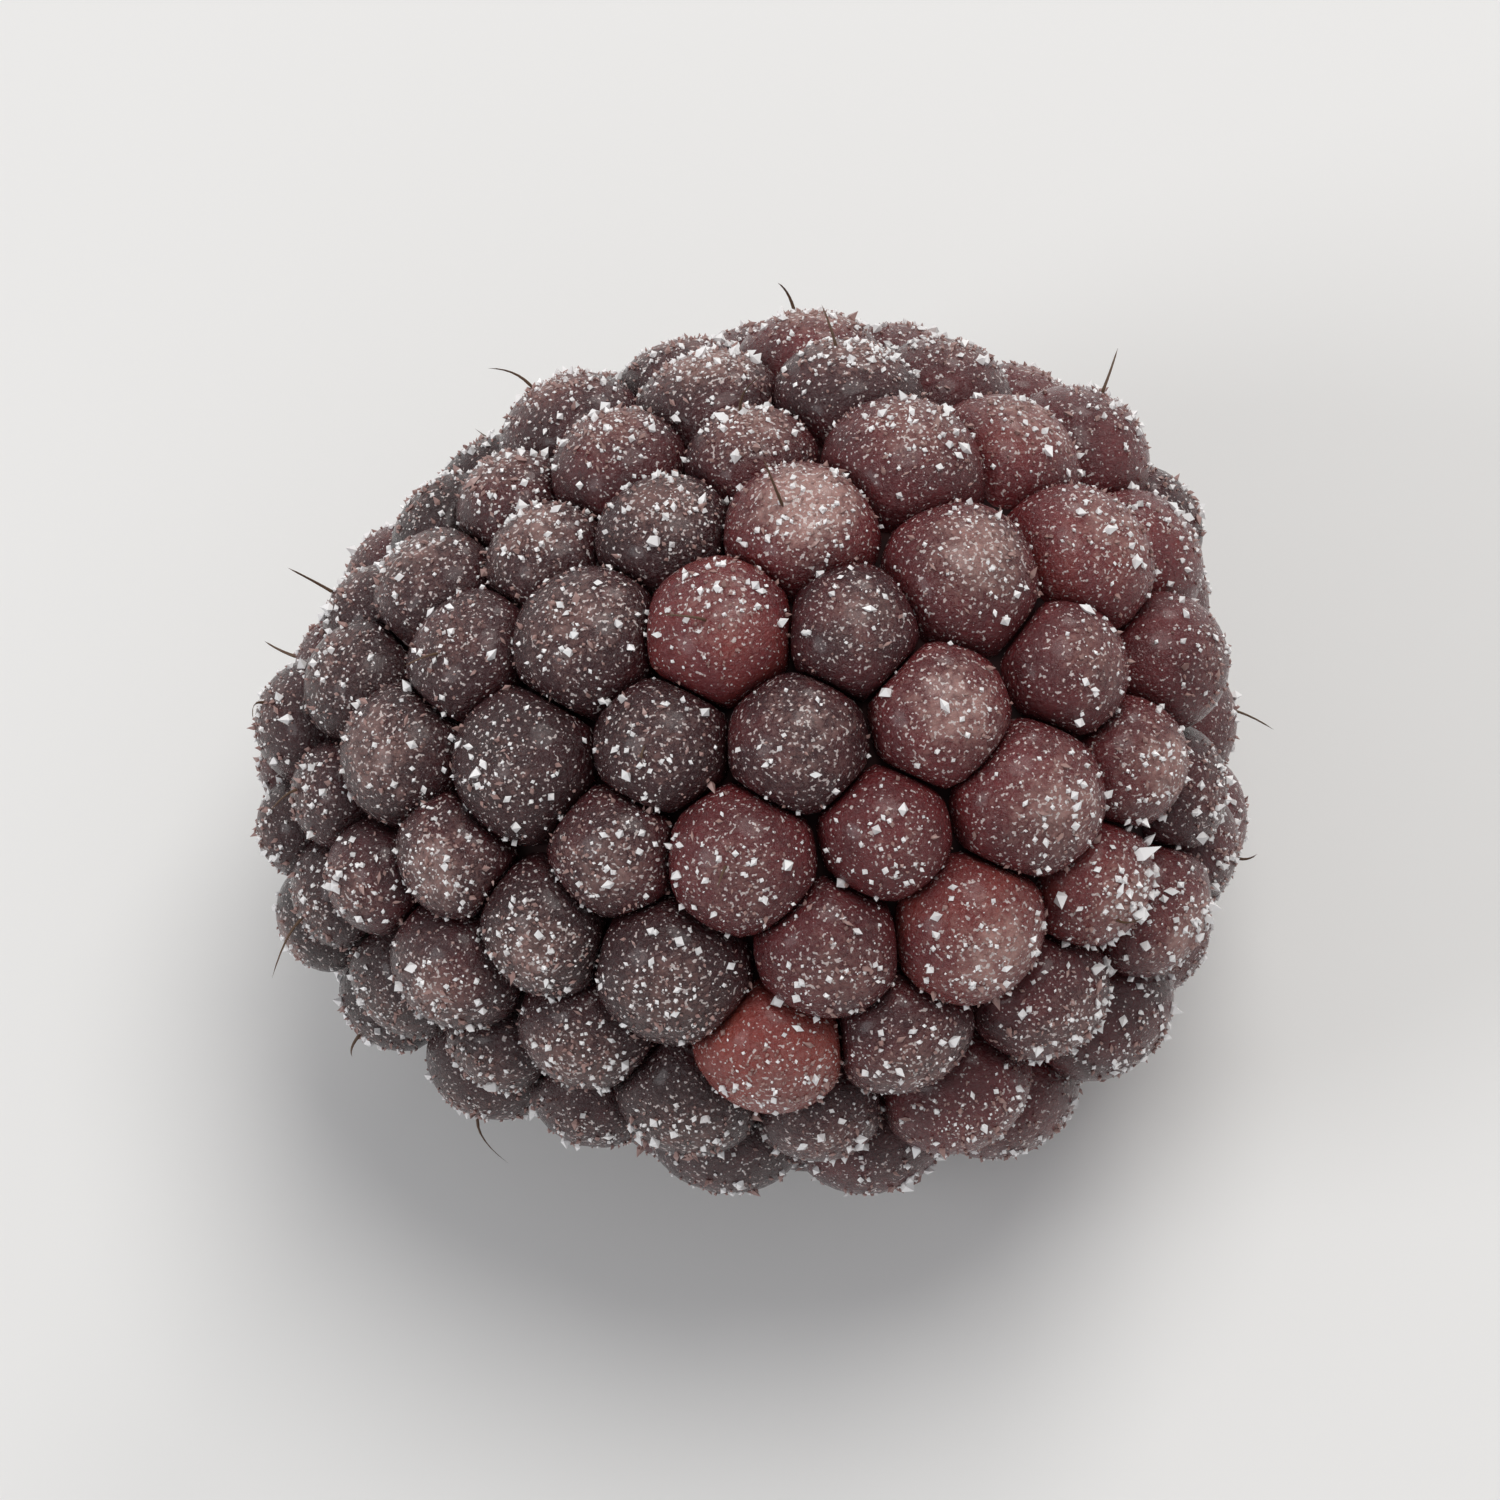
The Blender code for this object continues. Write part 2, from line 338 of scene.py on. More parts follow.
class Berry:
    """The grown and laid berry: where its sacs are in the scene, and what each is like."""

    def __init__(self):
        centres, self.radii, outward = grow_drupelets()
        self.turn, self.shift = resting_move(centres, self.radii)
        self.centres = self.lay(centres)
        self.outward = outward @ self.turn.T
        apart = self.centres[None] - self.centres[:, None]
        distance = np.linalg.norm(apart, axis=-1) + np.eye(len(centres))
        self.toward = apart / distance[..., None]
        middle = (distance**2 + self.radii[:, None] ** 2 - self.radii[None] ** 2) / (2 * distance)
        near = (distance < self.radii[:, None] + self.radii[None]) & ~np.eye(len(centres), dtype=bool)
        self.middle = np.where(near, np.maximum(middle, NEAREST_PLANE * self.radii[:, None]), NO_PLANE)
        self.characters()

    def lay(self, points):
        """The scene's place of points in the receptacle's own frame."""
        return points @ self.turn.T + self.shift

    def characters(self):
        """What makes each drupelet its own: where its style sat, its waves, and how ripe and pale it is."""
        chance = np.random.RandomState(SEED + 1)
        count = len(self.radii)
        tipward = normalized(-self.turn[:, 2] + STYLE_SCATTER * chance.normal(size=(count, 3)))
        self.style = normalized(self.outward + STYLE_LEAN * tipward)
        self.side = normalized(np.cross(self.outward, chance.normal(size=(count, 3))))
        self.wave_ways = WAVE_TURN * normalized(chance.normal(size=(count, WAVES_EACH, 3)))
        self.wave_phases = chance.uniform(0, 2 * math.pi, (count, WAVES_EACH))
        self.wave_height = WAVE_HEIGHT * chance.uniform(0.5, 1.5, count)
        self.swell = SWELL_SPREAD * chance.normal(size=count)
        x, y, z = self.centres.T
        ripeness = RIPENESS + RIPENESS_TILT * np.tanh((x - TILT_PLACE) / TILT_LENGTH)
        ripeness += RIPENESS_SPREAD * chance.normal(size=count)
        self.ripeness = np.clip(ripeness, *RIPENESS_LIMITS)
        hidden = np.where(z > z.max() / 2, 0, 1)
        for late_x, late_y, late_ripeness in LATE_DRUPELETS:
            nearest = (np.hypot(x - late_x, y - late_y) + hidden).argmin()
            self.ripeness[nearest] = late_ripeness
        self.pale = chance.uniform(0, 1, count)

    def reach(self, which, ways):
        """How far a sac goes from its centre in each of these world directions. Its own shape is its radius
        times swelling + details, and at each neighbour's dividing plane it may go plane distance / cosine;
        these are blended as (sum of reach^-p)^(-1/p), which rounds the edges between them."""
        own = self.radii[which][:, None] * (SWELLING + self.details(which, ways))
        cosine = np.einsum("nmk,njk->nmj", ways, self.toward[which])
        planes = (np.maximum(cosine, 0) / (self.middle[which][:, None] * (1 - SLIT_SHARE))) ** GIVING_POWER
        return (own**-GIVING_POWER + planes.sum(-1)) ** (-1 / GIVING_POWER)

    def details(self, which, ways):
        """Shape of a sac's own skin, in shares of its radius: low waves across it, a swelling along one side,
        and where its style sat a dish, exp(-(angle / width)^2) deep, with a narrower nub in its middle."""
        phases = np.einsum("nmk,njk->nmj", ways, self.wave_ways[which]) + self.wave_phases[which][:, None]
        waves = self.wave_height[which][:, None] * np.sin(phases).sum(-1)
        swell = self.swell[which][:, None] * cosines(ways, self.side[which]) ** 2
        angle = np.arccos(np.clip(cosines(ways, self.style[which]), -1, 1))
        dish = DISH_DEPTH * (np.exp(-((angle / NUB_WIDTH) ** 2)) - np.exp(-((angle / DISH_WIDTH) ** 2)))
        return waves + swell + dish

    def frost(self, which, ways, points):
        """How much frost lies at these points, 0 to 1: most on crowns and on what faces up, in soft patches
        of sin(x + sin y) + sin(y + sin z). On the skin its peak on the crowns is also painted light on the
        crowns and painted shade on the sides."""
        none, full = FROST_COSINES
        exposed = np.clip((cosines(ways, self.outward[which]) - none) / (full - none), 0, 1) ** FROST_POWER
        upward = 0.5 + 0.5 * ways[..., 2]
        settled = FROST_FROM_BELOW + (1 - FROST_FROM_BELOW) * upward
        x, y, z = np.moveaxis(points / PATCH_SIZE, -1, 0)
        patch = np.sin(x + 1.7 * np.sin(0.7 * y)) + np.sin(y + 1.3 * np.sin(z))
        return np.clip(exposed * settled * (PATCH_MIDDLE + PATCH_SWING * patch), 0, 1)

    def rubbed(self, points):
        """How far crystals are rubbed off, 0 to 1: exp(-(distance from the rubbed place, in its sizes)^2)."""
        x = (points[..., 0] - RUBBED_PLACE[0]) / RUBBED_SIZE[0]
        y = (points[..., 1] - RUBBED_PLACE[1]) / RUBBED_SIZE[1]
        return np.exp(-x * x - y * y) * (points[..., 2] > 0.5 * CAD_BOX[1][2])


# ---------------------------------------------------------------- meshes


def mesh_piece(name, points, faces, material, smooth=True):
    """A piece at the origin, from its points and a list of arrays of faces, one array for each number of
    corners."""
    mesh = bpy.data.meshes.new(name)
    corners = np.concatenate([f.ravel() for f in faces])
    sizes = np.concatenate([np.full(len(f), f.shape[1]) for f in faces])
    mesh.vertices.add(len(points))
    mesh.vertices.foreach_set("co", points.astype(np.float32).ravel())
    mesh.loops.add(len(corners))
    mesh.loops.foreach_set("vertex_index", corners.astype(np.int32))
    mesh.polygons.add(len(sizes))
    mesh.polygons.foreach_set("loop_start", np.concatenate([[0], np.cumsum(sizes)[:-1]]).astype(np.int32))
    mesh.polygons.foreach_set("loop_total", sizes.astype(np.int32))
    mesh.polygons.foreach_set("use_smooth", np.full(len(sizes), smooth))
    mesh.update(calc_edges=True)
    mesh.validate()
    mesh.materials.append(material)
    piece = bpy.data.objects.new(name, mesh)
    bpy.context.scene.collection.objects.link(piece)
    return piece


def add_value(piece, name, values):
    layer = piece.data.attributes.new(name, "FLOAT", "POINT")
    layer.data.foreach_set("value", values.astype(np.float32).ravel())


def closed_grid(rings, segments):
    """Faces of one closed skin of rings of points between two poles, the first point and the last."""
    inner = rings - 1
    at = 1 + np.arange(inner * segments).reshape(inner, segments)
    next_at = np.roll(at, -1, axis=1)
    first = np.stack([np.zeros(segments, int), at[0], next_at[0]], -1)
    quads = np.stack([at[:-1], at[1:], next_at[1:], next_at[:-1]], -1).reshape(-1, 4)
    last = np.stack([np.full(segments, 1 + inner * segments), next_at[-1], at[-1]], -1)
    return [np.concatenate([first, last]), quads]


def closed_angles(rings, segments, power=1.0):
    """Polar and round-the-pole angles of closed_grid's points, where polar is pi * (ring / rings)^power."""
    polar = math.pi * (np.arange(1, rings) / rings) ** power
    around = 2 * math.pi * np.arange(segments) / segments
    polar, around = (a.ravel() for a in np.meshgrid(polar, around, indexing="ij"))
    return np.concatenate([[0], polar, [math.pi]]), np.concatenate([[0], around, [0]])


def repeated(faces, times, step):
    """Faces of a shape that is repeated, its points following each other by this step."""
    return [(f[None] + step * np.arange(times)[:, None, None]).reshape(-1, f.shape[1]) for f in faces]


def local_ways(outward, side, polar, around):
    """World directions at these angles from each outward direction."""
    third = np.cross(outward, side)
    flat = np.cos(around)[None, :, None] * side[:, None] + np.sin(around)[None, :, None] * third[:, None]
    return np.cos(polar)[None, :, None] * outward[:, None] + np.sin(polar)[None, :, None] * flat


def make_drupelets(berry, material):
    """Every drupelet as a closed sac: centre + direction * reach, pressed flat where it meets the surface."""
    polar, around = closed_angles(SAC_RINGS, SAC_SEGMENTS, RING_POWER)
    which = np.arange(len(berry.radii))
    ways = local_ways(berry.outward, berry.side, polar, around)
    reach = berry.reach(which, ways)
    points = berry.centres[:, None] + ways * reach[..., None]
    points[..., 2] = np.maximum(points[..., 2], 0)
    faces = repeated(closed_grid(SAC_RINGS, SAC_SEGMENTS), len(which), len(polar))
    piece = mesh_piece("drupelets", points.reshape(-1, 3), faces, material)
    add_sac_map(piece, faces, polar, around)
    # How far each point lies down between the sacs; the skin is darkened there as painted shade.
    deep = np.clip(SWELLING - reach / berry.radii[:, None], 0, 1)
    add_value(piece, "ripeness", np.repeat(berry.ripeness, len(polar)))
    add_value(piece, "crease", np.clip(deep * CREASE_SHADE_GAIN, 0, 1))
    # Frost on the crowns, which the skin also uses as painted light: crowns lighter, sides darker.
    add_value(piece, "frost", berry.frost(which, ways, points))
    add_value(piece, "pale", np.repeat(berry.pale, len(polar)))
    return piece


def add_sac_map(piece, faces, polar, around):
    """A map with a square of its own for each sac, on which a skin point is tanh(bunching * polar) from the
    middle at its angle round the sac, so that the open crown gets most of the square. The inner pole is drawn
    out over the rim."""
    count, step = len(piece.data.vertices) // len(polar), len(polar)
    away = MAP_REACH * np.tanh(MAP_BUNCHING * polar) / math.tanh(MAP_BUNCHING * math.pi)
    spot = away[:, None] * np.stack([np.cos(around), np.sin(around)], -1)
    number = np.arange(count)
    square = np.stack([number % MAP_SQUARES, number // MAP_SQUARES], -1) + 0.5
    places = (square[:, None] + spot).reshape(-1, 2)
    corners = np.concatenate([f.ravel() for f in faces])
    found = places[corners]
    poles = np.flatnonzero(corners % step == step - 1)
    middle = square[corners[poles] // step]
    found[poles] = middle + MAP_RIM * normalized((found[poles + 1] + found[poles + 2]) / 2 - middle)
    layer = piece.data.uv_layers.new(name="OFBake")
    layer.uv.foreach_set("vector", (found / MAP_SQUARES).astype(np.float32).ravel())


def make_receptacle(berry, material):
    """The flesh under the drupelets, coloured as painted shade: direction * bed scale * share, cut off flat
    at the stem end.
    """
    polar, around = closed_angles(RECEPTACLE_RINGS, RECEPTACLE_SEGMENTS)
    unit = np.stack([np.sin(polar) * np.cos(around), np.sin(polar) * np.sin(around), np.cos(polar)], -1)
    points = unit * bed_scale(unit) * RECEPTACLE_SHARE
    points[:, 2] = np.minimum(points[:, 2], RECEPTACLE_TOP)
    faces = closed_grid(RECEPTACLE_RINGS, RECEPTACLE_SEGMENTS)
    return mesh_piece("receptacle", berry.lay(points), faces, material)


def scar_skin(polar, around):
    """The stem scar, in the receptacle's own frame, at these angles of a closed skin, and its tone there,
    which is how far out it is, 0 to 1, and more at the veins. The face's height is a rim ridge, less a pit in
    the middle, less a ring of dimples where the veins tore, plus waves, and its outline is ragged. The rest
    of the skin goes down inside the flesh."""
    share = np.clip(polar / (SCAR_FACE_SHARE * math.pi), 0, 1)
    ragged = sum(size * np.sin(waves * around + phase) for size, waves, phase in SCAR_RAGGED)
    radius = SCAR_RADIUS * share * (SCAR_OUTLINE + ragged * share**2)
    height = SCAR_HEIGHT + RIM_HEIGHT * np.exp(-(((share - RIM_PLACE) / RIM_WIDTH) ** 2))
    height -= PIT_DEPTH * np.exp(-((share / PIT_WIDTH) ** 2)) + EDGE_DROP * share**EDGE_POWER
    veins = (0.5 + 0.5 * np.cos(VEIN_COUNT * around)) ** 3
    height -= VEIN_DEPTH * veins * np.exp(-(((share - VEIN_PLACE) / VEIN_WIDTH) ** 2))
    height += share * sum(size * np.sin(waves * around + turn * share) for size, waves, turn in SCAR_WAVES)
    below = np.clip((polar / math.pi - SCAR_FACE_SHARE) / (1 - SCAR_FACE_SHARE), 0, 1)
    height -= ROOT_DEPTH * below
    radius = radius * (1 - below**3)
    tone = share + VEIN_STAIN * veins * np.exp(-(((share - VEIN_PLACE) / STAIN_WIDTH) ** 2))
    return np.stack([radius * np.cos(around), radius * np.sin(around), height], -1), tone


def make_scar(berry, material):
    """The torn stem scar, as one closed skin."""
    points, tone = scar_skin(*closed_angles(SCAR_RINGS, SCAR_SEGMENTS))
    faces = closed_grid(SCAR_RINGS, SCAR_SEGMENTS)
    piece = mesh_piece("stem_scar", berry.lay(points), faces, material)
    add_value(piece, "tone", tone)
    return piece


def make_styles(berry, material):
    """Dry styles left on some drupelets, each a closed tapering tube along
    foot + length * (t * way + t^2 * bend), for t from 0 to 1, whose foot is inside the skin."""
    chance = np.random.RandomState(SEED + 4)
    foot_height = berry.centres[:, 2] + STYLE_FOOT * berry.radii * berry.outward[:, 2]
    which = chance.choice(np.flatnonzero(foot_height > STYLE_LOWEST), STYLE_COUNT, replace=False)
    t = np.linspace(0, 1, STYLE_RINGS + 1)
    way, side = berry.style[which], berry.side[which]
    foot = berry.centres[which] + way * (berry.reach(which, way[:, None]) - STYLE_SUNK)
    length = chance.uniform(*STYLE_LENGTHS, STYLE_COUNT)[:, None, None]
    lean = normalized(side + STYLE_LEAN_SPREAD * chance.normal(size=side.shape))
    bend = chance.uniform(*STYLE_BENDS, STYLE_COUNT)[:, None, None] * lean[:, None]
    path = foot[:, None] + length * (t[:, None] * way[:, None] + t[:, None] ** 2 * bend)
    around = 2 * math.pi * np.arange(STYLE_SEGMENTS) / STYLE_SEGMENTS
    third = np.cross(way, side)
    spokes = np.cos(around)[:, None] * side[:, None] + np.sin(around)[:, None] * third[:, None]
    thickness = STYLE_RADIUS * (1 - STYLE_TAPER * t[1:-1])
    tube = path[:, 1:-1, None] + thickness[:, None, None] * spokes[:, None]
    points = np.concatenate([path[:, :1], tube.reshape(STYLE_COUNT, -1, 3), path[:, -1:]], 1)
    points[..., 2] = np.maximum(points[..., 2], STYLE_RADIUS)
    flipped = [f[:, ::-1] for f in closed_grid(STYLE_RINGS, STYLE_SEGMENTS)]
    faces = repeated(flipped, STYLE_COUNT, points.shape[1])
    return mesh_piece("dry_styles", points.reshape(-1, 3), faces, material)


def in_blocks(function, *rows):
    """What a function of the berry gives for each row, worked out a block of rows at a time."""
    starts = range(0, len(rows[0]), ROWS_AT_ONCE)
    return np.concatenate([function(*(row[k:k + ROWS_AT_ONCE] for row in rows))[:, 0] for k in starts])


def place_on_skin(berry, count, chance):
    """Random places on the sacs' open skin: points, world directions, and the frost there."""
    which = chance.choice(len(berry.radii), count, p=berry.radii**2 / (berry.radii**2).sum())
    polar = np.arccos(chance.uniform(OPEN_COSINE, 1, count))
    around = chance.uniform(0, 2 * math.pi, count)
    third = np.cross(berry.outward[which], berry.side[which])
    flat = np.cos(around)[:, None] * berry.side[which] + np.sin(around)[:, None] * third
    ways = np.cos(polar)[:, None] * berry.outward[which] + np.sin(polar)[:, None] * flat
    points = berry.centres[which] + ways * in_blocks(berry.reach, which, ways[:, None])[:, None]
    frost = in_blocks(berry.frost, which, ways[:, None], points[:, None])
    kept = points[:, 2] > LOWEST_CRYSTAL
    return points[kept], ways[kept], frost[kept]


def crystal_piece(name, points, ways, material, size, spread, tallness, chance):
    """Ice crystals at these points, each of eight faces: a square bipyramid about a shaken way, part sunk in
    the skin, with half widths of size * exp(spread * normal) and heights up to tallness times as much."""
    count = len(points)
    half = size * np.exp(spread * chance.normal(size=count))
    axis = normalized(ways + CRYSTAL_SHAKE * chance.normal(size=(count, 3)))
    side = normalized(np.cross(axis, chance.normal(size=(count, 3))))
    third = np.cross(axis, side)
    tall = half * chance.uniform(LEAST_TALLNESS, tallness, count)
    middle = points + ways * (CRYSTAL_PROUD * half)[:, None]
    spokes = np.stack([side, third, -side, -third], 1) * half[:, None, None]
    tips = np.stack([axis, -axis], 1) * tall[:, None, None]
    corners = middle[:, None] + np.concatenate([spokes, tips], 1)
    corners[..., 2] = np.maximum(corners[..., 2], SURFACE_GAP)
    upper = [[k, (k + 1) % 4, 4] for k in range(4)]
    lower = [[(k + 1) % 4, k, 5] for k in range(4)]
    faces = repeated([np.array(upper + lower)], count, corners.shape[1])
    return mesh_piece(name, corners.reshape(-1, 3), faces, material, smooth=False)


def make_crystals(berry, name, material, tries, size, spread, tallness, seed, gathered):
    """Crystals on the sacs. More stay where there is frost, and few where they are rubbed off; those that
    gather stay by exp(-(distance from the drift's middle, in its sizes)^2)."""
    chance = np.random.RandomState(seed)
    points, ways, frost = place_on_skin(berry, tries, chance)
    share = (KEPT_ANYWHERE + KEPT_IN_FROST * frost**KEPT_POWER) * (1 - RUBBED_OFF * berry.rubbed(points))
    if gathered:
        share = np.exp(-((points - DRIFT_PLACE) ** 2).sum(1) / DRIFT_SIZE**2)
    kept = chance.uniform(0, 1, len(points)) < share
    return crystal_piece(name, points[kept], ways[kept], material, size, spread, tallness, chance)


def make_scar_frost(berry, material):
    """Crystals scattered evenly over the scar's face."""
    chance = np.random.RandomState(SEED + 7)
    polar = SCAR_FACE_SHARE * math.pi * np.sqrt(chance.uniform(0, 1, SCAR_CRYSTALS))
    points, _ = scar_skin(polar, chance.uniform(0, 2 * math.pi, SCAR_CRYSTALS))
    ways = np.tile(berry.turn[:, 2], (SCAR_CRYSTALS, 1))
    return crystal_piece("scar_frost", berry.lay(points), ways, material, *SCAR_FROST, chance)


# ---------------------------------------------------------------- materials


class Value:
    """A number in a shader, so that maths on it can be written as maths."""

    def __init__(self, shading, socket):
        self.shading = shading
        self.socket = socket

    def maths(self, operation, first, second):
        return self.shading.node("ShaderNodeMath", {"operation": operation}, {0: first, 1: second})

    def __add__(self, other):
        return self.maths("ADD", self, other)

    def __radd__(self, other):
        return self.maths("ADD", other, self)

    def __sub__(self, other):
        return self.maths("SUBTRACT", self, other)

    def __rsub__(self, other):
        return self.maths("SUBTRACT", other, self)

    def __mul__(self, other):
        return self.maths("MULTIPLY", self, other)

    def __rmul__(self, other):
        return self.maths("MULTIPLY", other, self)


class Shading:
    """A material in the making."""

    def __init__(self, name):
        self.material = bpy.data.materials.new(name)
        self.material.use_nodes = True
        self.tree = self.material.node_tree
        self.surface = self.tree.nodes["Principled BSDF"]

    def node(self, kind, settings=None, inputs=None, output=0):
        """Adds a node: its settings first, then the values or links of its sockets."""
        made = self.tree.nodes.new(kind)
        for key, value in (settings or {}).items():
            if key == "stops":
                self.set_stops(made.color_ramp, value)
            else:
                setattr(made, key, value)
        self.feed(made, inputs or {})
        return Value(self, made.outputs[output])

    def set_stops(self, ramp, stops):
        while len(ramp.elements) < len(stops):
            ramp.elements.new(0.5)
        for element, (position, colour) in zip(ramp.elements, stops):
            element.position = position
            element.color = (*colour, 1)

    def feed(self, node, inputs):
        for key, value in inputs.items():
            if isinstance(value, Value):
                self.tree.links.new(value.socket, node.inputs[key])
            else:
                node.inputs[key].default_value = value

    def place(self):
        return self.node("ShaderNodeTexCoord", output="Object")

    def own(self, name):
        """A value that the mesh carries at each point."""
        return self.node("ShaderNodeAttribute", {"attribute_name": name}, output="Fac")

    def noise(self, size, detail=2.0, roughness=0.5, distortion=0.0):
        """Soft noise, 0 to 1, whose blobs are about this size across."""
        return self.node("ShaderNodeTexNoise", inputs={
            "Vector": self.place(), "Scale": 1 / size, "Detail": detail, "Roughness": roughness,
            "Distortion": distortion,
        })

    def step(self, value, low, high):
        """0 below low, 1 above high, smooth between."""
        return self.node("ShaderNodeMapRange", {"interpolation_type": "SMOOTHSTEP"}, {
            "Value": value, "From Min": low, "From Max": high,
        })

    def mix(self, share, first, second):
        return self.node("ShaderNodeMix", {"data_type": "RGBA"}, {0: share, 6: first, 7: second}, output=2)

    def ramp(self, value, stops):
        """Colours at these stops, and between them."""
        return self.node("ShaderNodeValToRGB", {"stops": stops}, {"Fac": value})

    def bump(self, height, distance, strength=1.0, under=None):
        inputs = {"Height": height, "Distance": distance, "Strength": strength}
        if under is not None:
            inputs["Normal"] = under
        return self.node("ShaderNodeBump", inputs=inputs)


def drupelet_skin():
    """Juice-dark skin, wine red where less ripe, under a mauve rime that is thickest on the crowns and breaks
    up into blotches, fur and pale specks. The rime's lighter crowns and darker sides are partly painted light
    and shade, and its pale caps on the crowns are thick frost and painted highlights. Painted shade darkens
    the skin down in the creases."""
    s = Shading("drupelet_skin")
    ripeness, crease, frost, pale = s.own("ripeness"), s.own("crease"), s.own("frost"), s.own("pale")
    mottle = s.noise(0.0016, 4.0, 0.6)
    redness = ripeness + (mottle - 0.5) * 0.45
    juice = s.ramp(redness, [
        (0.0, (0.015, 0.006, 0.006)),
        (0.30, (0.046, 0.010, 0.012)),
        (0.55, (0.140, 0.019, 0.022)),
        (0.80, (0.280, 0.050, 0.036)),
        (1.0, (0.300, 0.110, 0.055)),
    ])
    blotch = s.noise(0.00055, 3.0, 0.6)
    fur = s.noise(0.00017, 3.0, 0.8, 0.8)
    # The rime is real frost, and through its peak on the crowns it is also painted light on the crowns and
    # painted shade on the sides.
    cover = frost * 0.75 + (blotch - 0.5) * 0.9 + (pale - 0.5) * 0.22
    veil = s.step(cover + (fur - 0.5) * 1.5, 0.12, 0.80)
    bloom = s.mix(redness, (0.162, 0.089, 0.080, 1), (0.400, 0.185, 0.158, 1))
    colour = s.mix(veil * 0.72, juice, bloom)
    # Pale caps on the crowns: thick frost, and painted highlights.
    cap = s.step(frost * 0.9 + (blotch - 0.5) * 1.1 + (pale - 0.5) * 0.7, 0.62, 1.10)
    colour = s.mix(cap * 0.55, colour, s.mix(redness, (0.36, 0.255, 0.235, 1), (0.70, 0.40, 0.35, 1)))
    specks = s.step(s.noise(0.00013, 1.0, 0.5) + cover * 0.10, 0.64, 0.70)
    colour = s.mix(specks * 0.75, colour, (0.74, 0.66, 0.64, 1))
    # Painted shade: the skin is mixed towards black down in the creases.
    colour = s.mix(crease * 0.45, colour, (0.010, 0.005, 0.005, 1))
    fine = s.bump(fur, 0.00012, 1.0)
    skin = s.bump(s.noise(0.0009, 3.0, 0.5), 0.00012, 0.5, under=fine)
    s.feed(s.surface, {
        "Base Color": colour,
        "Roughness": 0.22 + veil * 0.40,
        "Normal": skin,
        "Subsurface Weight": 0.15,
        "Subsurface Radius": (1.0, 0.30, 0.22),
        "Subsurface Scale": 0.0010,
        "Specular IOR Level": 0.5,
        "Coat Weight": 0.20,
        "Coat Roughness": 0.16,
    })
    return s.material


def shaded_flesh_inside():
    """Flesh down between the drupelets, coloured near-black as painted shade in the gaps."""
    s = Shading("receptacle_shaded_flesh")
    colour = s.ramp(s.noise(0.0008, 3.0), [(0.3, (0.006, 0.003, 0.003)), (0.7, (0.022, 0.007, 0.007))])
    s.feed(s.surface, {"Base Color": colour, "Roughness": 0.8, "Specular IOR Level": 0.15})
    return s.material


def torn_flesh():
    """Green-cream pith where the stalk tore off, stained with juice over the veins and towards the rim."""
    s = Shading("torn_flesh")
    grain = s.noise(0.00025, 4.0, 0.65)
    tone = s.own("tone") + (s.noise(0.0009, 3.0, 0.6) - 0.5) * 0.5 + (grain - 0.5) * 0.25
    colour = s.ramp(tone, [
        (0.0, (0.300, 0.270, 0.130)),
        (0.35, (0.400, 0.340, 0.190)),
        (0.62, (0.300, 0.190, 0.115)),
        (0.80, (0.170, 0.055, 0.050)),
        (1.0, (0.060, 0.015, 0.020)),
    ])
    s.feed(s.surface, {
        "Base Color": colour, "Roughness": 0.6, "Normal": s.bump(grain, 0.00010, 0.8),
        "Subsurface Weight": 0.1, "Subsurface Radius": (1.0, 0.6, 0.4), "Subsurface Scale": 0.0008,
    })
    return s.material


def dry_brown():
    s = Shading("dry_brown")
    s.feed(s.surface, {"Base Color": (0.095, 0.050, 0.026, 1), "Roughness": 0.6})
    return s.material


def ice(name, colour, roughness):
    s = Shading(name)
    s.feed(s.surface, {
        "Base Color": (*colour, 1), "Roughness": roughness, "IOR": 1.31, "Specular IOR Level": 0.9,
        "Subsurface Weight": 0.0,
    })
    return s.material


def plain_floor():
    s = Shading("pale_floor")
    colour = s.ramp(s.noise(0.05, 2.0), [(0.0, (0.75, 0.75, 0.74)), (1.0, (0.78, 0.78, 0.77))])
    s.feed(s.surface, {"Base Color": colour, "Roughness": 0.75})
    return s.material


# ---------------------------------------------------------------- camera, floor and light


def aim(obj, place, target):
    obj.location = place
    obj.rotation_mode = "QUATERNION"
    obj.rotation_quaternion = (Vector(target) - Vector(place)).to_track_quat("-Z", "Y")


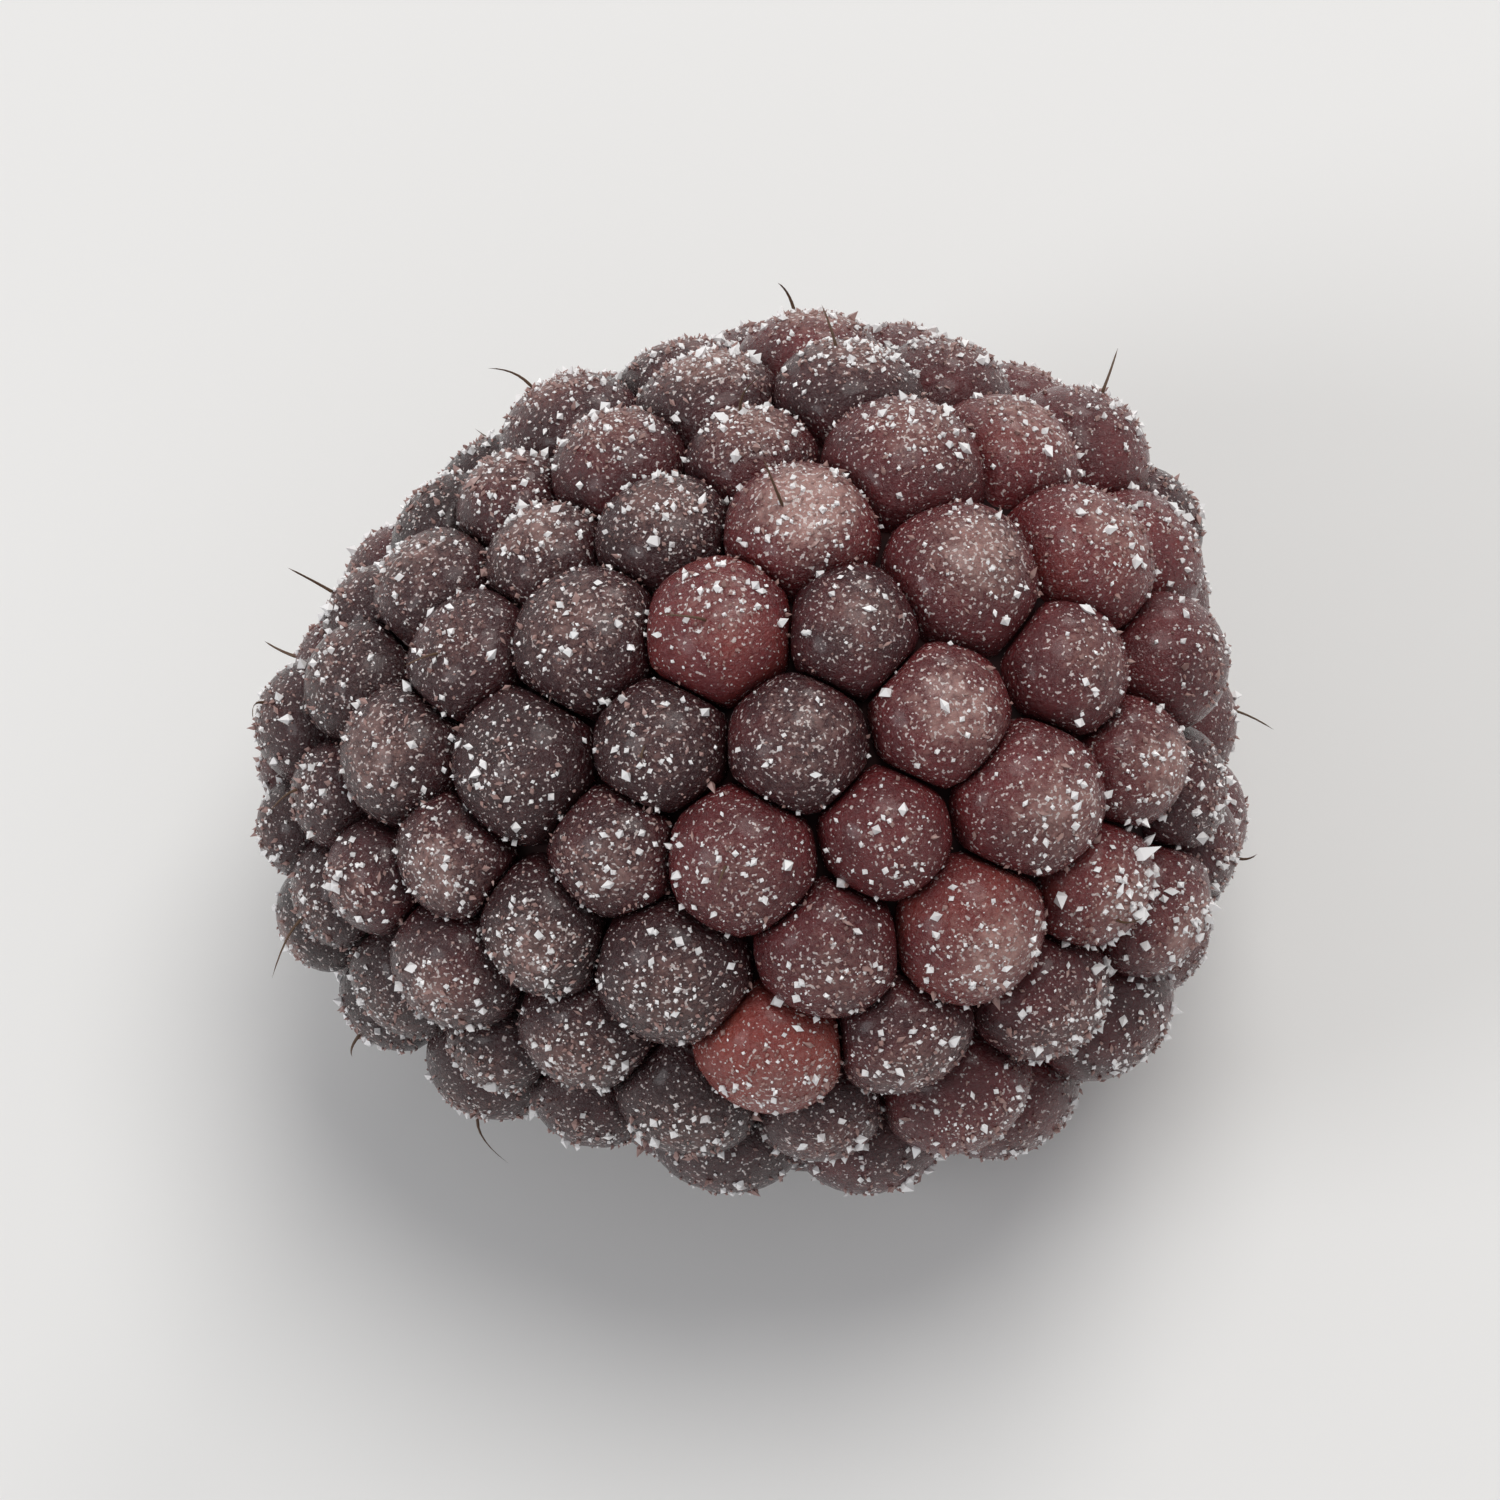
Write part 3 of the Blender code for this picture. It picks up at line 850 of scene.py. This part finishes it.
def add_camera():
    data = bpy.data.cameras.new("camera")
    data.lens, data.sensor_width = LENS_MM, SENSOR_MM
    data.clip_start, data.clip_end = 0.005, 10
    camera = bpy.data.objects.new("camera", data)
    bpy.context.scene.collection.objects.link(camera)
    lo, hi = CAD_BOX
    middle = (Vector(lo) + Vector(hi)) / 2
    flat = math.cos(VIEW_ELEVATION)
    back = Vector((math.sin(VIEW_AZIMUTH) * flat, -math.cos(VIEW_AZIMUTH) * flat, math.sin(VIEW_ELEVATION)))
    aim(camera, middle + back * (FRAME_WIDTH * LENS_MM / SENSOR_MM), middle)
    bpy.context.scene.camera = camera


def add_floor():
    """A round floor, as a fan of triangles, at the level of the surface."""
    around = 2 * math.pi * np.arange(FLOOR_SEGMENTS) / FLOOR_SEGMENTS
    rim = FLOOR_RADIUS * np.stack([np.cos(around), np.sin(around), 0 * around], -1)
    at = 1 + np.arange(FLOOR_SEGMENTS)
    faces = [np.stack([np.zeros(FLOOR_SEGMENTS, int), at, np.roll(at, -1)], -1)]
    floor = mesh_piece("floor", np.concatenate([[[0, 0, 0]], rim]), faces, plain_floor(), smooth=False)


def add_soft_light(name, place, size, power, colour):
    data = bpy.data.lights.new(name, "AREA")
    data.shape, data.size, data.energy, data.color = "DISK", size, power, colour
    light = bpy.data.objects.new(name, data)
    bpy.context.scene.collection.objects.link(light)
    light.visible_camera = False
    aim(light, place, (0, 0, LIT_HEIGHT))


def light_studio():
    world = bpy.data.worlds.new("studio")
    world.use_nodes = True
    background = world.node_tree.nodes["Background"]
    background.inputs["Color"].default_value = SKY_COLOUR
    background.inputs["Strength"].default_value = SKY_STRENGTH
    bpy.context.scene.world = world
    for light in LIGHTS:
        add_soft_light(*light)
    bpy.context.scene.view_settings.view_transform = "Standard"


def main():
    add_camera()
    add_floor()
    light_studio()
    berry = Berry()
    drupelets = make_drupelets(berry, drupelet_skin())
    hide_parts("berry")
    kinds = {
        "clear": ice("clear_frost", (0.84, 0.83, 0.83), 0.18),
        "stained": ice("stained_frost", (0.33, 0.205, 0.185), 0.35),
    }
    pieces = [
        drupelets,
        make_receptacle(berry, shaded_flesh_inside()),
        make_scar(berry, torn_flesh()),
        make_styles(berry, dry_brown()),
    ]
    pieces += [make_crystals(berry, name, kinds[kind], *layer) for name, kind, *layer in FROST_LAYERS]
    pieces.append(make_scar_frost(berry, kinds["clear"]))
    for piece in pieces:
        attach(piece, "root")


main()
